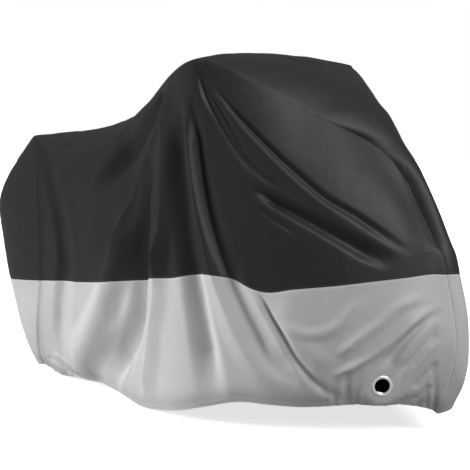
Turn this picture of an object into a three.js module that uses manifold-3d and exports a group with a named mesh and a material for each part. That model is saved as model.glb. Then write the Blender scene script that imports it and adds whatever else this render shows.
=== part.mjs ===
// A fitted motorcycle cover, as it hangs over a motorcycle on its side stand: black upper cloth,
// silver skirt, drawn in by its hem under both wheels, with a metal lock eyelet in each side.
// Millimetres, +X to the front wheel, +Z up, the lowest point of the hem at Z = 0.
import * as THREE from 'three';
import { mergeVertices } from 'three/addons/utils/BufferGeometryUtils.js';
import Module from 'manifold-3d';

const wasm = await Module();
wasm.setup();

const clothThickness = 1.6;
const seamGap = 0.4;

// Each side is lofted through sections that stand side by side from the tail to the front wheel.
// A section runs from the hem over the belly of the skirt, the two-tone seam and the waist
// to the seam of the centre strip. Out is the distance from the middle plane of the cover.
const heights = { hem: 0, belly: 0.18, tone: 0.36, waist: 0.68, top: 1 };

const nearSections = [
  // at, hem x out z, belly x out, tone x out z, waist x out z, top x out z
  [0, -838, 82, 27, -784, 142, -757, 150, 393, -784, 135, 721, -899, 40, 968],
  [1, -690, 130, 5, -626, 182, -586, 200, 406, -627, 180, 687, -751, 85, 941],
  [2, -515, 190, 19, -470, 232, -440, 240, 415, -469, 220, 674, -596, 120, 922],
  [3, -339, 250, 32, -305, 282, -283, 285, 428, -312, 260, 681, -454, 130, 934],
  [4, -161, 320, 24, -150, 330, -142, 330, 443, -189, 270, 723, -354, 130, 973],
  [5, 6, 380, 3, 3, 378, 0, 370, 462, -66, 290, 765, -276, 120, 1038],
  [6, 162, 440, 18, 144, 434, 126, 420, 480, 96, 370, 807, -70, 220, 1113],
  [7, 280, 470, 36, 265, 463, 250, 450, 492, 223, 420, 845, 174, 370, 1195],
  [8, 390, 475, 61, 370, 470, 351, 460, 511, 325, 440, 864, 308, 420, 1235],
  [9, 533, 450, 92, 508, 460, 480, 455, 511, 433, 435, 866, 367, 400, 1232],
  [10, 658, 420, 92, 650, 430, 631, 430, 469, 572, 420, 835, 452, 370, 1200],
  [11, 759, 380, 91, 760, 396, 744, 400, 483, 687, 380, 803, 554, 320, 1139],
  [12, 868, 320, 99, 876, 338, 860, 340, 497, 804, 320, 772, 652, 255, 1072],
  [13, 944, 260, 104, 965, 272, 952, 265, 511, 893, 250, 756, 745, 185, 1019],
  [14, 1008, 180, 98, 1042, 196, 1026, 185, 522, 976, 170, 723, 825, 100, 961],
  [15, 1057, 95, 80, 1102, 115, 1070, 100, 530, 1025, 95, 674, 898, 75, 899],
  [16, 1083, 55, 58, 1145, 58, 1103, 55, 528, 1052, 52, 642, 953, 55, 821],
];

const farSections = [
  // at, hem x out z, belly x out, tone x out z, waist x out z, top x out z
  [0, -838, 82, 30, -784, 142, -757, 150, 400, -784, 135, 721, -899, 40, 968],
  [2, -515, 200, 30, -470, 240, -440, 250, 420, -469, 230, 680, -596, 120, 930],
  [4, -161, 330, 20, -150, 342, -142, 340, 445, -189, 290, 730, -330, 130, 985],
  [5, 6, 390, 10, 3, 390, 0, 385, 465, -66, 320, 770, -240, 140, 1050],
  [6, 162, 440, 15, 144, 435, 126, 425, 480, 96, 380, 810, -50, 240, 1125],
  [7, 290, 465, 10, 275, 460, 260, 450, 495, 240, 425, 850, 190, 370, 1205],
  [8, 400, 470, 5, 385, 465, 370, 455, 505, 350, 440, 870, 345, 430, 1253],
  [9, 530, 450, 6, 505, 455, 480, 445, 505, 440, 430, 866, 400, 415, 1235],
  [10, 650, 420, 24, 625, 425, 600, 420, 500, 540, 410, 850, 470, 370, 1198],
  [12, 850, 300, 85, 850, 312, 830, 300, 505, 760, 280, 770, 655, 230, 1085],
  [14, 1000, 150, 85, 1035, 162, 1000, 150, 515, 940, 140, 700, 835, 110, 935],
  [16, 1080, 42, 75, 1130, 42, 1095, 40, 522, 1045, 42, 640, 945, 50, 810],
];

// The crown is the middle line of the centre strip, from the rear hem up the tail, along the
// seat, over the handlebars and down to the front hem. Full is how square its arch is.
const crownSections = [
  // at, x, y, z, full
  [0, -922, 0, 14, 2],
  [0.4, -962, 0, 75, 2],
  [0.9, -998, 0, 140, 2],
  [1.6, -1043, 0, 240, 2],
  [2.2, -1076, 0, 330, 2],
  [2.52, -1094, 0, 372, 2],
  [3.65, -1138, 0, 540, 2],
  [4.75, -1163, 0, 700, 2],
  [5.6, -1110, 0, 812, 2],
  [6.4, -1020, 0, 910, 2],
  [6.8, -965, 0, 966, 2],
  [7, -935, 0, 983, 2],
  [7.4, -880, 0, 989, 2],
  [9, -640, 0, 1009, 2],
  [11, -380, 0, 1048, 2],
  [12, -250, 0, 1090, 2],
  [13, -60, 0, 1165, 2],
  [14, 140, 0, 1245, 2],
  [15, 262, 0, 1283, 2],
  [16, 395, 0, 1268, 2.2],
  [17, 525, 0, 1222, 2.2],
  [18, 640, 0, 1162, 2.2],
  [19, 740, 0, 1092, 2],
  [19.5, 786, 0, 1064, 2],
  [20, 824, 0, 1026, 2],
  [21, 892, -5, 950, 2],
  [22, 948, -8, 888, 2],
  [23, 990, -10, 824, 2],
  [25.25, 1078, -12, 645, 2],
  [27.5, 1118, -12, 525, 2],
  [28.5, 1152, -8, 370, 2],
  [29.2, 1148, -8, 200, 2],
  [30, 1092, 0, 75, 2],
];
const tailStation = 7;
const noseStation = 23;
const lastStation = 30;

// Main folds. A path is a chain of x, z points on the side, rise stands out (+) or sinks in (-),
// the half widths are those at the two ends of the path, and crisp goes from 0, round, to 1, sharp.
const nearFolds = [
  { of: 'hollow from the tail corner', rise: -9, from: 55, to: 90, crisp: 0,
    path: [[-850, 935], [-760, 884], [-665, 815], [-560, 728], [-490, 640], [-420, 500]] },
  { of: 'full side under the seat', rise: 12, from: 120, to: 120, crisp: 0,
    path: [[-520, 860], [-380, 760], [-290, 600], [-330, 394], [-400, 220]] },
  { of: 'hollow under the rise', rise: -21, from: 52, to: 92, crisp: 0,
    path: [[33, 1117], [-52, 1065], [-155, 1003], [-238, 955], [-282, 900], [-291, 850], [-288, 780]] },
  { of: 'ridge that hangs back from the handlebar', rise: 15, from: 40, to: 46, crisp: 0.5,
    path: [[118, 1096], [58, 1023], [-42, 893], [-110, 741], [-153, 578], [-215, 460]] },
  { of: 'the same ridge in the skirt', rise: 12, from: 50, to: 80, crisp: 0,
    path: [[-120, 720], [-158, 578], [-205, 485], [-285, 342], [-350, 255], [-430, 150]] },
  { of: 'hollow in front of it', rise: -27, from: 42, to: 95, crisp: 0,
    path: [[50, 830], [42, 740], [42, 660], [32, 520], [28, 420], [0, 335], [-40, 265], [-95, 190],
      [-170, 120], [-260, 50]] },
  { of: 'ridge straight down from the lever', rise: 26, from: 46, to: 56, crisp: 0.4,
    path: [[175, 1185], [141, 1134], [126, 1082], [133, 1019], [150, 878], [162, 739], [162, 599],
      [154, 469], [136, 333], [98, 184], [76, 20]] },
  { of: 'wide hollow below the handlebar', rise: -22, from: 44, to: 100, crisp: 0,
    path: [[258, 1112], [267, 1034], [294, 864], [333, 695], [373, 528], [410, 379], [442, 213], [458, 90]] },
  { of: 'ridge in front of the wide hollow', rise: 15, from: 40, to: 48, crisp: 0.2,
    path: [[272, 1136], [305, 1000], [345, 865], [380, 747], [421, 615], [452, 512], [488, 418],
      [545, 312], [622, 208], [770, 110]] },
  { of: 'furrow in front of that ridge', rise: -13, from: 36, to: 46, crisp: 0,
    path: [[291, 1135], [326, 1000], [373, 865], [433, 725], [483, 594], [523, 476], [586, 358],
      [664, 243], [700, 200]] },
  { of: 'soft ridge beside the furrow', rise: 10, from: 36, to: 44, crisp: 0,
    path: [[525, 570], [580, 440], [664, 297], [724, 215]] },
  { of: 'furrow toward the eyelet', rise: -10, from: 36, to: 38, crisp: 0.3,
    path: [[620, 478], [665, 402], [708, 333], [750, 259], [798, 196], [855, 141], [884, 117]] },
  { of: 'fullness in front of it', rise: 10, from: 44, to: 50, crisp: 0,
    path: [[690, 456], [725, 376], [775, 305], [860, 222]] },
  { of: 'first furrow across the front', rise: -12, from: 36, to: 38, crisp: 0.4,
    path: [[339, 1202], [380, 1110], [434, 1029], [496, 956], [552, 890], [606, 835]] },
  { of: 'crescent hollow', rise: -26, from: 38, to: 46, crisp: 0,
    path: [[586, 808], [650, 770], [712, 732], [775, 696], [834, 662], [885, 624], [937, 588], [1000, 556]] },
  { of: 'ridge across the front', rise: 15, from: 36, to: 40, crisp: 0.2,
    path: [[372, 1150], [447, 1070], [552, 964], [666, 858], [785, 762], [902, 676], [1000, 600],
      [1045, 564]] },
  { of: 'second furrow across the front', rise: -19, from: 36, to: 38, crisp: 0.5,
    path: [[378, 1166], [431, 1116], [492, 1060], [564, 994], [636, 926], [711, 860], [802, 786],
      [890, 724], [970, 663], [1036, 601]] },
  { of: 'soft hollow under the front seam', rise: -12, from: 42, to: 60, crisp: 0,
    path: [[469, 1126], [529, 1079], [603, 1019], [693, 949], [763, 894], [838, 829], [898, 778],
      [954, 733], [998, 688], [1041, 632]] },
  { of: 'ridge above the eyelet', rise: 11, from: 36, to: 36, crisp: 0.3,
    path: [[846, 206], [902, 244], [950, 281], [989, 320], [1023, 358], [1054, 398], [1084, 430]] },
  { of: 'hollow to the eyelet', rise: -15, from: 36, to: 36, crisp: 0.3,
    path: [[912, 126], [954, 191], [986, 232], [1016, 275], [1044, 317], [1067, 358], [1107, 414]] },
];

const farFolds = [
  { of: 'hollow from the tail corner', rise: -20, from: 50, to: 90, crisp: 0,
    path: [[-840, 900], [-680, 760], [-560, 560], [-520, 400]] },
  { of: 'hollow under the rise', rise: -36, from: 60, to: 90, crisp: 0,
    path: [[50, 1130], [-120, 1030], [-220, 920], [-240, 760]] },
  { of: 'first ridge from the handlebar', rise: 24, from: 34, to: 60, crisp: 0.6,
    path: [[170, 1190], [80, 1050], [20, 850], [-40, 600], [-90, 350], [-110, 60]] },
  { of: 'hollow between the ridges', rise: -26, from: 36, to: 80, crisp: 0,
    path: [[200, 1120], [150, 900], [110, 650], [70, 400], [40, 120]] },
  { of: 'second ridge from the handlebar', rise: 26, from: 32, to: 60, crisp: 0.6,
    path: [[290, 1190], [260, 980], [240, 740], [230, 480], [220, 260], [215, 40]] },
  { of: 'wide hollow below the handlebar', rise: -26, from: 40, to: 70, crisp: 0,
    path: [[350, 1150], [370, 900], [380, 650], [400, 400], [420, 120]] },
  { of: 'third ridge', rise: 20, from: 30, to: 50, crisp: 0.4,
    path: [[420, 1170], [470, 950], [520, 720], [560, 500], [600, 280], [640, 100]] },
  { of: 'furrow across the front', rise: -24, from: 30, to: 44, crisp: 0.4,
    path: [[480, 1130], [600, 960], [720, 820], [840, 700], [960, 590]] },
  { of: 'ridge in the skirt', rise: 18, from: 34, to: 44, crisp: 0.5,
    path: [[700, 480], [760, 330], [850, 200], [920, 110]] },
];

// The strip carries few folds: its paths are x, y, z points.
const stripFolds = [
  { of: 'dent behind the front crease', rise: -16, from: 50, to: 50, crisp: 0,
    path: [[420, -40, 1245], [450, 40, 1245], [470, 120, 1240]] },
  { of: 'sag of the seat', rise: -14, from: 70, to: 70, crisp: 0,
    path: [[-720, 10, 990], [-560, 0, 1010], [-420, 10, 1035]] },
  { of: 'crease down the front', rise: -12, from: 40, to: 40, crisp: 0.3,
    path: [[520, -170, 1190], [640, -90, 1130], [760, -60, 1050], [850, -50, 960]] },
];
const longestFoldStep = 25;
const seamCalm = 45; // folds die out within this distance of a side's top seam, which stays straight

// Lock eyelet: a pressed ring in two halves, clinched through the skirt near the front wheel.
const eyelet = {
  station: 13.34,
  height: 0.06,
  hole: 25,
  barrel: 27,
  flange: 35,
  clearance: 0.6,
  lip: 2.4,
  crown: 3,
  air: 0.3,
};
const flatRound = { near: 90, far: 150 };

// Grid of the solids: how many columns run up each side and how many rows run along it.
// The far side, with its broader folds, has every second one of them.
const columnSteps = [
  // from, to, columns
  [0, 5, 14],
  [5, 9, 34],
  [9, 16, 30],
];
const rowSteps = [
  // from, to, rows
  [heights.hem, heights.tone, 8],
  [heights.tone, 0.6, 6],
  [0.6, heights.top, 14],
];
const skirtRows = 8;
const farStep = 2;
const stripCuts = 6;

const colours = { black: 0x343434, silver: 0xb0b2b1, chrome: 0xd4d5d6 };

const evenly = (count) => Array.from({ length: count + 1 }, (_, i) => i / count);

// Smooth curve through table rows: a cubic whose slopes follow the neighbouring rows.
function smoothRow(table, at) {
  const last = table.length - 1;
  let i = 0;
  while (i < last - 1 && at >= table[i + 1][0]) i += 1;
  const span = table[i + 1][0] - table[i][0];
  const u = (at - table[i][0]) / span;
  const rate = (k, c) => (table[k + 1][c] - table[k][c]) / (table[k + 1][0] - table[k][0]);
  const slope = (k, c) => {
    if (k === 0) return rate(0, c);
    if (k === last) return rate(last - 1, c);
    const before = table[k][0] - table[k - 1][0];
    const after = table[k + 1][0] - table[k][0];
    return (rate(k - 1, c) * after + rate(k, c) * before) / (before + after);
  };
  return table[i].slice(1).map((value, n) => {
    const c = n + 1;
    return (1 + 2 * u) * (1 - u) ** 2 * value + u * (1 - u) ** 2 * span * slope(i, c)
      + u * u * (3 - 2 * u) * table[i + 1][c] + u * u * (u - 1) * span * slope(i + 1, c);
  });
}

// A point of one side's smooth form. Side is -1 for the near side and 1 for the far one.
function sidePoint(sections, side, at, height) {
  const [hemX, hemOut, hemZ, bellyX, bellyOut, toneX, toneOut, toneZ,
    waistX, waistOut, waistZ, topX, topOut, topZ] = smoothRow(sections, at);
  const line = [
    [heights.hem, hemX, hemOut, hemZ],
    [heights.belly, bellyX, bellyOut, (hemZ + toneZ) / 2],
    [heights.tone, toneX, toneOut, toneZ],
    [heights.waist, waistX, waistOut, waistZ],
    [heights.top, topX, topOut, topZ],
  ];
  const [x, out, z] = smoothRow(line, height);
  return new THREE.Vector3(x, side * out, z);
}

// Unit normals of a grid of points, facing out of the cover.
function gridNormals(grid, facing) {
  const rows = grid.length;
  const columns = grid[0].length;
  const ahead = new THREE.Vector3();
  const across = new THREE.Vector3();
  return grid.map((row, i) => row.map((_, j) => {
    ahead.subVectors(grid[Math.min(i + 1, rows - 1)][j], grid[Math.max(i - 1, 0)][j]);
    across.subVectors(row[Math.min(j + 1, columns - 1)], row[Math.max(j - 1, 0)]);
    return new THREE.Vector3().crossVectors(ahead, across).multiplyScalar(facing).normalize();
  }));
}

// A fold's path as a fine chain of points, with the share of its length at each.
function foldChain(path) {
  const table = [[0, ...path[0]]];
  for (let i = 1; i < path.length; i += 1) {
    const step = Math.hypot(...path[i].map((value, c) => value - path[i - 1][c]));
    table.push([table[i - 1][0] + step, ...path[i]]);
  }
  const length = table[table.length - 1][0];
  return evenly(Math.ceil(length / longestFoldStep)).map((share) => ({
    share,
    point: smoothRow(table, share * length),
  }));
}

// How far one fold lifts a point. It fades in and out over the ends of its path.
function foldLift(fold, chain, point) {
  let nearest = Infinity;
  let share = 0;
  for (let i = 1; i < chain.length; i += 1) {
    const from = chain[i - 1];
    const step = chain[i].point.map((value, c) => value - from.point[c]);
    const reach = point.map((value, c) => value - from.point[c]);
    const long = step.reduce((sum, value) => sum + value * value, 0);
    const along = reach.reduce((sum, value, c) => sum + value * step[c], 0) / long;
    const u = THREE.MathUtils.clamp(along, 0, 1);
    const gap = Math.hypot(...reach.map((value, c) => value - step[c] * u));
    if (gap < nearest) {
      nearest = gap;
      share = THREE.MathUtils.lerp(from.share, chain[i].share, u);
    }
  }
  const off = nearest / THREE.MathUtils.lerp(fold.from, fold.to, share);
  if (off >= 1) return 0;
  const round = 0.5 + 0.5 * Math.cos(Math.PI * off);
  const sharp = (1 - off) ** 2;
  const ends = Math.min(1, share * 6, (1 - share) * 6);
  return fold.rise * THREE.MathUtils.lerp(round, sharp, fold.crisp) * ends;
}

// Lifts every point of a grid by its folds, less where the cloth is held still.
function layFolds(grid, normals, folds, toPath, stillness) {
  const chains = folds.map((fold) => foldChain(fold.path));
  return grid.map((row, i) => row.map((point, j) => {
    const on = toPath(point);
    const lift = folds.reduce((sum, fold, k) => sum + foldLift(fold, chains[k], on), 0);
    return point.clone().addScaledVector(normals[i][j], lift * (1 - stillness(point, j)));
  }));
}

const spread = (steps) => [steps[0][0], ...steps.flatMap(([from, to, count]) => (
  evenly(count).slice(1).map((share) => from + (to - from) * share)
))];
const columns = spread(columnSteps);
const rows = spread(rowSteps);
const every = (list, step) => list.filter((_, i) => i % step === 0);

// A list with the middle of each pair of neighbours put in between.
const withMiddles = (list) => list.flatMap(
  (value, i) => (i === 0 ? [value] : [(list[i - 1] + value) / 2, value]),
);

// Where an eyelet sits: its place on the smooth side and the way that side faces there.
function eyeletSeat(sections, side) {
  const at = (station, height) => sidePoint(sections, side, station, height);
  const place = at(eyelet.station, eyelet.height);
  const small = 0.05;
  const ahead = at(eyelet.station + small, eyelet.height).sub(place);
  const up = at(eyelet.station, eyelet.height + small).sub(place);
  return { place, facing: ahead.cross(up).multiplyScalar(-side).normalize() };
}

// One side of the cover. Its points are worked out twice as fine as its grid, and the points
// in the middle of the cells are kept apart: they tell which way to halve each cell.
function makeSide(sections, side, folds, step) {
  const seat = eyeletSeat(sections, side);
  const flatness = (point) => {
    const away = point.distanceTo(seat.place);
    return 1 - THREE.MathUtils.smoothstep(away, flatRound.near, flatRound.far);
  };
  const fineRows = withMiddles(every(rows, step));
  const fineColumns = withMiddles(every(columns, step));
  const plain = fineRows.map((height) => fineColumns.map((at) => sidePoint(sections, side, at, height)));
  for (const row of plain) {
    for (const point of row) {
      const proud = point.clone().sub(seat.place).dot(seat.facing);
      point.addScaledVector(seat.facing, -proud * flatness(point));
    }
  }
  const topSeam = plain[plain.length - 1];
  const stillness = (point, column) => {
    const loose = THREE.MathUtils.smoothstep(point.distanceTo(topSeam[column]), 0, seamCalm);
    return 1 - (1 - flatness(point)) * loose;
  };
  const fine = layFolds(plain, gridNormals(plain, side), folds, (point) => [point.x, point.z], stillness);
  return { ...halve(fine, side), seat };
}

// Grid, normals and cell middles out of points that are twice as fine.
function halve(fine, facing) {
  const pick = (list, start) => list.filter((_, i) => i % 2 === start);
  const normals = gridNormals(fine, facing);
  return {
    grid: pick(fine, 0).map((row) => pick(row, 0)),
    normals: pick(normals, 0).map((row) => pick(row, 0)),
    middles: pick(fine, 1).map((row) => pick(row, 1)),
  };
}

// The same edge with (step - 1) points spaced along each straight stretch of it.
function refineEdge(edge, step) {
  return edge.flatMap((value, i) => {
    if (i === 0) return [value.clone()];
    return evenly(step).slice(1).map((share) => edge[i - 1].clone().lerp(value, share));
  });
}

// The edge that a side shares with the centre strip: up the tail, along the top, down the front.
function stripEdge(side, field) {
  const grid = side[field];
  const rear = grid.map((row) => row[0]);
  const top = grid[grid.length - 1].slice(1, -1);
  const front = grid.map((row) => row[row.length - 1]).reverse();
  return [...rear, ...top, ...front];
}

function makeStrip(near, far) {
  const span = columns[columns.length - 1];
  const stations = [
    ...rows.map((height) => tailStation * height),
    ...columns.slice(1, -1).map((at) => tailStation + (noseStation - tailStation) * at / span),
    ...rows.map((height) => lastStation - (lastStation - noseStation) * height).reverse(),
  ];
  const nearEdge = refineEdge(stripEdge(near, 'grid'), 2);
  const farEdge = refineEdge(stripEdge(far, 'grid'), 2 * farStep);
  const shares = evenly(2 * stripCuts);
  const plain = withMiddles(stations).map((at, i) => {
    const [x, y, z, full] = smoothRow(crownSections, at);
    const middle = nearEdge[i].clone().lerp(farEdge[i], 0.5);
    const rise = new THREE.Vector3(x, y, z).sub(middle);
    return shares.map((share) => {
      const arch = 1 - Math.abs(2 * share - 1) ** full;
      return nearEdge[i].clone().lerp(farEdge[i], share).addScaledVector(rise, arch);
    });
  });
  const folded = layFolds(plain, gridNormals(plain, 1), stripFolds, (point) => point.toArray(), () => 0);
  const fine = plain.map((row, i) => row.map((point, j) => (
    point.clone().lerp(folded[i][j], Math.sin(Math.PI * shares[j]))
  )));
  return halve(fine, 1);
}

// Panels that meet at a seam lean the same way there, so that their thickness mitres.
function matchSeam(strip, stripColumn, side, step) {
  const edge = stripEdge(side, 'normals');
  edge.forEach((normal, i) => normal.add(strip.normals[i * step][stripColumn]).normalize());
  refineEdge(edge, step).forEach((normal, i) => strip.normals[i][stripColumn].copy(normal));
}

// A cut piece: rows first to last of a grid, drawn back from its edges by half the seam gap.
function cutPiece(source, first, last) {
  const grid = source.grid.slice(first, last + 1).map((row) => row.map((point) => point.clone()));
  const normals = source.normals.slice(first, last + 1);
  const back = (point, inner) => {
    const way = inner.clone().sub(point).normalize();
    return point.clone().addScaledVector(way, seamGap / 2);
  };
  const count = grid.length;
  const width = grid[0].length;
  const drawn = grid.map((row, i) => row.map((point, j) => {
    let moved = point.clone();
    if (i === 0) moved = back(moved, grid[1][j]);
    if (i === count - 1) moved = back(moved, grid[count - 2][j]);
    if (j === 0) moved = back(moved, row[1]);
    if (j === width - 1) moved = back(moved, row[width - 2]);
    return moved;
  }));
  return { grid: drawn, normals, middles: source.middles.slice(first, last) };
}

// Closed sheet: the outer grid, the same grid one thickness further in, and a rim between them.
// Each cell is halved along the diagonal that comes nearest to the cloth in its middle.
function sheetGeometry({ grid, normals, middles }, facing) {
  const count = grid.length;
  const width = grid[0].length;
  const outer = grid.flat();
  const inner = grid.flatMap((row, i) => row.map((point, j) => (
    point.clone().addScaledVector(normals[i][j], -clothThickness)
  )));
  const vertices = [...outer, ...inner];
  const index = [];
  const quad = (a, b, c, d) => {
    if (facing > 0) index.push(a, b, c, a, c, d);
    else index.push(a, c, b, a, d, c);
  };
  const under = outer.length;
  const miss = (from, to, middle) => from.clone().lerp(to, 0.5).distanceTo(middle);
  for (let i = 0; i < count - 1; i += 1) {
    for (let j = 0; j < width - 1; j += 1) {
      const [a, b, c, d] = [i * width + j, (i + 1) * width + j, (i + 1) * width + j + 1, i * width + j + 1];
      const first = miss(grid[i][j], grid[i + 1][j + 1], middles[i][j]);
      const second = miss(grid[i + 1][j], grid[i][j + 1], middles[i][j]);
      if (first <= second) {
        quad(a, b, c, d);
        quad(under + c, under + b, under + a, under + d);
      } else {
        quad(b, c, d, a);
        quad(under + b, under + a, under + d, under + c);
      }
    }
  }
  const rim = [];
  for (let j = 0; j < width - 1; j += 1) rim.push(j);
  for (let i = 0; i < count - 1; i += 1) rim.push(i * width + width - 1);
  for (let j = width - 1; j > 0; j -= 1) rim.push((count - 1) * width + j);
  for (let i = count - 1; i > 0; i -= 1) rim.push(i * width);
  rim.forEach((a, k) => {
    const b = rim[(k + 1) % rim.length];
    quad(a, b, under + b, under + a);
  });
  const geometry = new THREE.BufferGeometry();
  const numbers = vertices.flatMap((v) => v.toArray());
  geometry.setAttribute('position', new THREE.Float32BufferAttribute(numbers, 3));
  geometry.setIndex(index);
  return geometry;
}

function toSolid(geometry) {
  const plain = geometry.index ? geometry.toNonIndexed() : geometry.clone();
  plain.deleteAttribute('normal');
  plain.deleteAttribute('uv');
  const merged = mergeVertices(plain, 1e-3);
  return new wasm.Manifold(new wasm.Mesh({
    numProp: 3,
    vertProperties: merged.attributes.position.array,
    triVerts: new Uint32Array(merged.index.array),
  }));
}

function toGeometry(solid) {
  const mesh = solid.getMesh();
  const geometry = new THREE.BufferGeometry();
  geometry.setAttribute('position', new THREE.BufferAttribute(mesh.vertProperties, 3));
  geometry.setIndex(new THREE.BufferAttribute(mesh.triVerts, 1));
  return geometry;
}

// The skirt panel with its round lock hole punched through.
function punchHole(geometry, seat) {
  const punch = new THREE.CylinderGeometry(
    eyelet.barrel + eyelet.clearance, eyelet.barrel + eyelet.clearance, 30, 32,
  );
  const turn = new THREE.Quaternion().setFromUnitVectors(new THREE.Vector3(0, 1, 0), seat.facing);
  punch.applyQuaternion(turn).translate(...seat.place.toArray());
  return toGeometry(toSolid(geometry).subtract(toSolid(punch)));
}

// Ring with a flange on each face of the cloth and a barrel through the hole.
function eyeletGeometry() {
  const { hole, barrel, flange, lip, crown, air } = eyelet;
  const back = clothThickness + air;
  const profile = [
    [hole, lip - 0.6], [hole + 1, lip + 0.2], [hole + 4, crown],
    [flange - 2, lip], [flange, 1.2], [flange, air],
    [barrel, air], [barrel, -back],
    [flange, -back], [flange, -back - 0.9], [flange - 2, -back - lip + 0.3], [hole + 4, -back - lip],
    [hole + 1, -back - lip + 0.4], [hole, -back - lip + 1.2], [hole, lip - 0.6],
  ].reverse();
  return new THREE.LatheGeometry(profile.map(([r, h]) => new THREE.Vector2(r, h)), 24);
}

const blackCloth = () => new THREE.MeshStandardMaterial({ color: colours.black, roughness: 0.62 });
const silverCloth = () => new THREE.MeshStandardMaterial({ color: colours.silver, roughness: 0.5 });
const ringMetal = () => new THREE.MeshStandardMaterial(
  { color: colours.chrome, roughness: 0.2, metalness: 1 },
);

const group = new THREE.Group();
function addMesh(name, geometry, material) {
  const mesh = new THREE.Mesh(geometry, material);
  mesh.name = name;
  group.add(mesh);
  return mesh;
}

const near = makeSide(nearSections, -1, nearFolds, 1);
const far = makeSide(farSections, 1, farFolds, farStep);
const strip = makeStrip(near, far);
matchSeam(strip, 0, near, 1);
matchSeam(strip, stripCuts, far, farStep);

const lastStrip = strip.grid.length - 1;
const frontTone = lastStrip - skirtRows;

for (const [name, side, facing] of [['near', near, -1], ['far', far, 1]]) {
  const top = side.grid.length - 1;
  const tone = side === near ? skirtRows : skirtRows / farStep;
  addMesh(`${name}_side_upper`, sheetGeometry(cutPiece(side, tone, top), facing), blackCloth());
  const skirt = sheetGeometry(cutPiece(side, 0, tone), facing);
  addMesh(`${name}_side_lower`, punchHole(skirt, side.seat), silverCloth());
  const ring = addMesh(`lock_eyelet_${name}`, eyeletGeometry(), ringMetal());
  ring.position.copy(side.seat.place);
  ring.quaternion.setFromUnitVectors(new THREE.Vector3(0, 1, 0), side.seat.facing);
}
addMesh('centre_strip_upper', sheetGeometry(cutPiece(strip, skirtRows, frontTone), 1), blackCloth());
addMesh('rear_strip_lower', sheetGeometry(cutPiece(strip, 0, skirtRows), 1), silverCloth());
addMesh('front_strip_lower', sheetGeometry(cutPiece(strip, frontTone, lastStrip), 1), silverCloth());

export default group;
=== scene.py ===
# Two-tone motorcycle cover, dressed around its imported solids.
# Lengths in the tables are millimetres, as in the part's source. The scene itself is in metres.
import math

import bpy
import numpy as np
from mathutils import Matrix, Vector


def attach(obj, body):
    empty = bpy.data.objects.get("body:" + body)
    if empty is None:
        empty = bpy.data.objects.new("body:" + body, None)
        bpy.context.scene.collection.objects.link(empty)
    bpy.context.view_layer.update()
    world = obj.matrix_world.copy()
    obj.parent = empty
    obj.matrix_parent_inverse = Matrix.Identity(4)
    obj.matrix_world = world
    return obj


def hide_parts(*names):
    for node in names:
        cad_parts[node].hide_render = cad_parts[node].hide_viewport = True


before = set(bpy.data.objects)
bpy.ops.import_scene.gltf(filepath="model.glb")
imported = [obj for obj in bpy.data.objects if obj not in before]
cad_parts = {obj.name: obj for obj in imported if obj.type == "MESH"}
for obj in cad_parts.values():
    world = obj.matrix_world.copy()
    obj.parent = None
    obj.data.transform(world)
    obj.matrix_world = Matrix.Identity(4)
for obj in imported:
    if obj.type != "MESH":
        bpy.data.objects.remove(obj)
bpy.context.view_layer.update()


cameraSet = {
    "azimuth": 40.0,  # degrees round from the near side
    "elevation": 4.0,
    "distance": 5.1,  # metres
    "target": (0.155, 0.0, 0.612),
    "focalPixels": 1366.8,
    "framePixels": 470.0,
}


def makeCamera(settings):
    turn, tilt = math.radians(settings["azimuth"]), math.radians(settings["elevation"])
    back = Vector((math.sin(turn) * math.cos(tilt), -math.cos(turn) * math.cos(tilt), math.sin(tilt)))
    data = bpy.data.cameras.new("camera")
    data.sensor_width = 36.0
    data.lens = data.sensor_width * settings["focalPixels"] / settings["framePixels"]
    camera = bpy.data.objects.new("camera", data)
    camera.location = Vector(settings["target"]) + back * settings["distance"]
    camera.rotation_euler = back.to_track_quat("Z", "Y").to_euler()
    bpy.context.collection.objects.link(camera)
    bpy.context.scene.camera = camera


makeCamera(cameraSet)
print("camera placed")


def linearColour(code):
    parts = [int(code[i:i + 2], 16) / 255 for i in (1, 3, 5)]
    straight = [p / 12.92 if p <= 0.04045 else ((p + 0.055) / 1.055) ** 2.4 for p in parts]
    return (*straight, 1.0)


# Settings are the node's own fields or its sockets, and a socket goes by its name or its number.
def addNode(tree, kind, settings=None, links=None):
    node = tree.nodes.new(kind)
    for name, value in (settings or {}).items():
        if isinstance(name, str) and hasattr(node, name):
            setattr(node, name, value)
        else:
            node.inputs[name].default_value = value
    for name, source in (links or {}).items():
        tree.links.new(source, node.inputs[name])
    return node


def newMaterial(name):
    material = bpy.data.materials.new(name)
    material.use_nodes = True
    material.node_tree.nodes.clear()
    return material, material.node_tree


# Smooth curve through table rows, whose slopes follow the neighbouring rows.
def smoothCurve(knots, values, at):
    knots, values, at = np.asarray(knots, float), np.asarray(values, float), np.asarray(at, float)
    gaps = np.diff(knots)
    rates = np.diff(values, axis=0) / gaps[:, None]
    slopes = np.empty_like(values)
    slopes[0], slopes[-1] = rates[0], rates[-1]
    before, after = gaps[:-1, None], gaps[1:, None]
    slopes[1:-1] = (rates[:-1] * after + rates[1:] * before) / (before + after)
    i = np.clip(np.searchsorted(knots, at, side="right") - 1, 0, len(gaps) - 1)
    span = gaps[i]
    u = ((at - knots[i]) / span)[:, None]
    span = span[:, None]
    return ((1 + 2 * u) * (1 - u) ** 2 * values[i] + u * (1 - u) ** 2 * span * slopes[i]
            + u * u * (3 - 2 * u) * values[i + 1] + u * u * (u - 1) * span * slopes[i + 1])


def smoothStep(value, low, high):
    u = np.clip((value - low) / (high - low), 0, 1)
    return u * u * (3 - 2 * u)


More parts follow.
